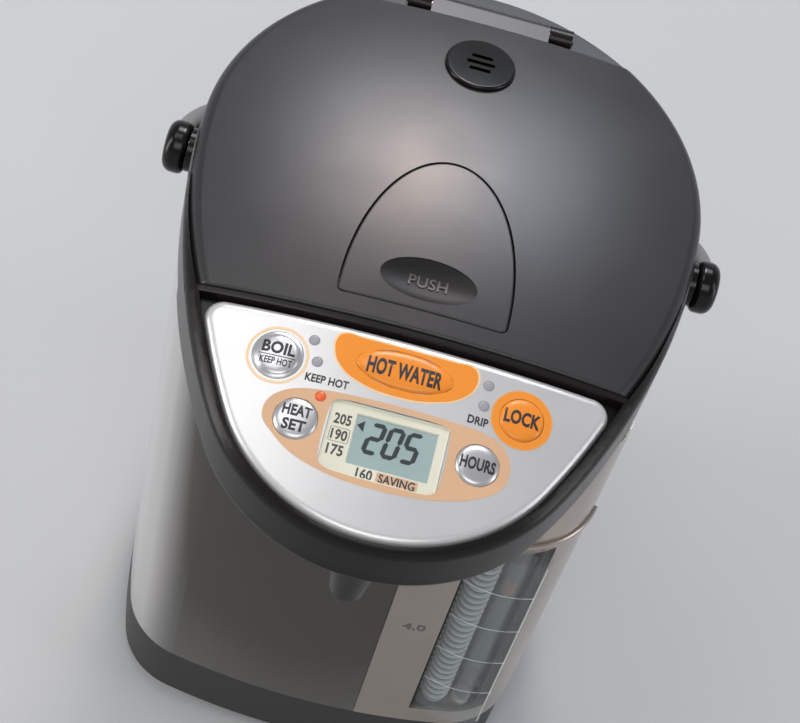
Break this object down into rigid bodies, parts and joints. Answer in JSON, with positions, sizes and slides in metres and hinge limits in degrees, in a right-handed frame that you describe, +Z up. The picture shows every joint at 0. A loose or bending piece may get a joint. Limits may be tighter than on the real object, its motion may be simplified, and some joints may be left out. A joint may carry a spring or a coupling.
{
  "type": "electric thermo pot",
  "caption": "Tall electric thermo pot with an egg-shaped top: hinged lid with a press lever, sloping key panel with display, spout nose, water gauge, folding bail and turntable base.",
  "frame": {"origin": "On the floor, where the axis of the vessel and of the round back of the body meets the plane the rubber ring stands on.", "axes": "+Z is up along the vessel's axis; the spout and control panel point along -Y and the lid hinge is at +Y; +X is to the right of someone facing the spout, where the water gauge is."},
  "size_m": [0.2312, 0.2939, 0.3338],
  "materials": {
    "charcoal_plastic": "satin dark charcoal moulded plastic with a fine metallic fleck",
    "black_plastic": "glossy near-black plastic",
    "base_plastic": "matt dark grey plastic",
    "body_metal": "smooth metallic brown-grey lacquer on sheet steel",
    "gauge_beige": "warm beige metallic lacquer",
    "window_clear": "clear polished plastic",
    "tube_glass": "clear glass",
    "scale_white": "ribbed off-white plastic",
    "channel_grey": "smooth grey plastic",
    "float_orange": "orange plastic",
    "panel_silver": "silver metallic paint, printed",
    "button_silver": "silver satin plastic",
    "button_orange": "orange satin plastic",
    "lamp_red": "clear red lens",
    "display_glass": "clear display cover",
    "display_grey": "grey-green liquid crystal display",
    "board_green": "green circuit board",
    "switch_black": "black tact switches",
    "stainless": "bright stainless steel",
    "silicone": "translucent white silicone rubber",
    "liner_grey": "grey polypropylene",
    "lever_charcoal": "satin dark charcoal moulded plastic",
    "handle_grey": "satin grey plastic",
    "steel_pin": "turned steel",
    "rubber_foot": "black rubber",
    "pump_white": "off-white heat-proof plastic",
    "motor_steel": "plated steel can",
    "heater_steel": "heater plate with a steel skin",
    "brass_pin": "plated brass",
    "component_dark": "moulded electronic parts"
  },
  "bodies": {
    "housing": {"base_cover": "base_plastic", "base_screws": "steel_pin", "turntable_retainer": "base_plastic", "power_inlet": "black_plastic", "inlet_pins": "brass_pin", "power_board": "board_green", "power_parts": "component_dark", "outer_body": "body_metal", "gauge_frame": "gauge_beige", "gauge_window": "window_clear", "gauge_tube": "tube_glass", "gauge_channel": "channel_grey", "gauge_scale": "scale_white", "upper_housing": "charcoal_plastic", "lid_hinge_pin": "steel_pin", "nose_cover": "black_plastic", "spout": "black_plastic", "spout_pipe": "silicone", "control_panel": "panel_silver", "display_window": "display_glass", "display_module": "display_grey", "control_board": "board_green", "switches": "switch_black", "indicator_lamps": "lamp_red", "inner_vessel": "stainless", "neck_ring": "stainless", "vessel_floor": "stainless", "vacuum_jacket": "stainless", "mouth_gasket": "silicone", "heater": "heater_steel", "thermal_sensor": "steel_pin", "pump_motor": "motor_steel", "pump_housing": "pump_white", "outlet_hose": "silicone", "delivery_pipe": "silicone", "handle_pivots": "steel_pin", "handle_washers": "black_plastic"},
    "turntable": {"turntable": "base_plastic", "foot_ring": "rubber_foot"},
    "lid": {"lid_shell": "charcoal_plastic", "lever_pin": "steel_pin", "lid_liner": "liner_grey", "inner_lid": "stainless", "lid_gasket": "silicone", "steam_vent": "black_plastic"},
    "lever": {"lid_lever": "lever_charcoal"},
    "latch": {"latch_bolt": "liner_grey"},
    "handle": {"carry_handle": "handle_grey", "handle_hubs": "black_plastic"},
    "unlock": {"unlock_button": "button_orange"},
    "reboil": {"reboil_button": "button_silver"},
    "temperature": {"temperature_button": "button_silver"},
    "timer": {"timer_button": "button_silver"},
    "dispense": {"dispense_button": "button_orange"},
    "float": {"gauge_float": "float_orange"},
    "impeller": {"pump_impeller": "pump_white"}
  },
  "joints": [
    {"name": "turntable_turn", "type": "hinge", "parent": "housing", "child": "turntable", "pos_m": [0, 0, 0.0107], "axis": [0, 0, 1], "continuous": true},
    {"name": "lid_hinge", "type": "hinge", "parent": "housing", "child": "lid", "pos_m": [0, 0.09, 0.321], "axis": [-1, 0, 0], "range_deg": [0, 95]},
    {"name": "lever_press", "type": "hinge", "parent": "lid", "child": "lever", "pos_m": [0, -0.024, 0.3237], "axis": [1, 0, 0], "range_deg": [0, 4], "stiffness_Nm_per_rad": 0.6, "springref_deg": -6.88},
    {"name": "latch_slide", "type": "slide", "parent": "lid", "child": "latch", "axis": [0, 1, 0], "range_m": [0, 0.0036]},
    {"name": "handle_swing", "type": "hinge", "parent": "housing", "child": "handle", "pos_m": [0, -0.015, 0.309], "axis": [1, 0, 0], "range_deg": [0, 150]},
    {"name": "unlock_press", "type": "slide", "parent": "housing", "child": "unlock", "axis": [-0.0784, 0.2073, -0.9751], "range_m": [0, 0.0008], "stiffness_N_per_m": 800, "springref_m": -0.0005},
    {"name": "reboil_press", "type": "slide", "parent": "housing", "child": "reboil", "axis": [0.0814, 0.2072, -0.9749], "range_m": [0, 0.0008], "stiffness_N_per_m": 800, "springref_m": -0.0005},
    {"name": "temperature_press", "type": "slide", "parent": "housing", "child": "temperature", "axis": [0.0602, 0.2075, -0.9764], "range_m": [0, 0.0008], "stiffness_N_per_m": 800, "springref_m": -0.0005},
    {"name": "timer_press", "type": "slide", "parent": "housing", "child": "timer", "axis": [-0.0572, 0.2076, -0.9765], "range_m": [0, 0.0008], "stiffness_N_per_m": 800, "springref_m": -0.0005},
    {"name": "dispense_press", "type": "slide", "parent": "housing", "child": "dispense", "axis": [0.0008, 0.2079, -0.9781], "range_m": [0, 0.0008], "stiffness_N_per_m": 800, "springref_m": -0.0005},
    {"name": "float_rise", "type": "slide", "parent": "housing", "child": "float", "axis": [0, 0, 1], "range_m": [-0.095, 0.038]},
    {"name": "impeller_spin", "type": "hinge", "parent": "housing", "child": "impeller", "pos_m": [0, 0, 0.046], "axis": [0, 0, 1], "continuous": true}
  ],
  "couplings": [
    {"joint": "latch_slide", "follows": "lever_press", "m_per_rad": 0.05}
  ]
}
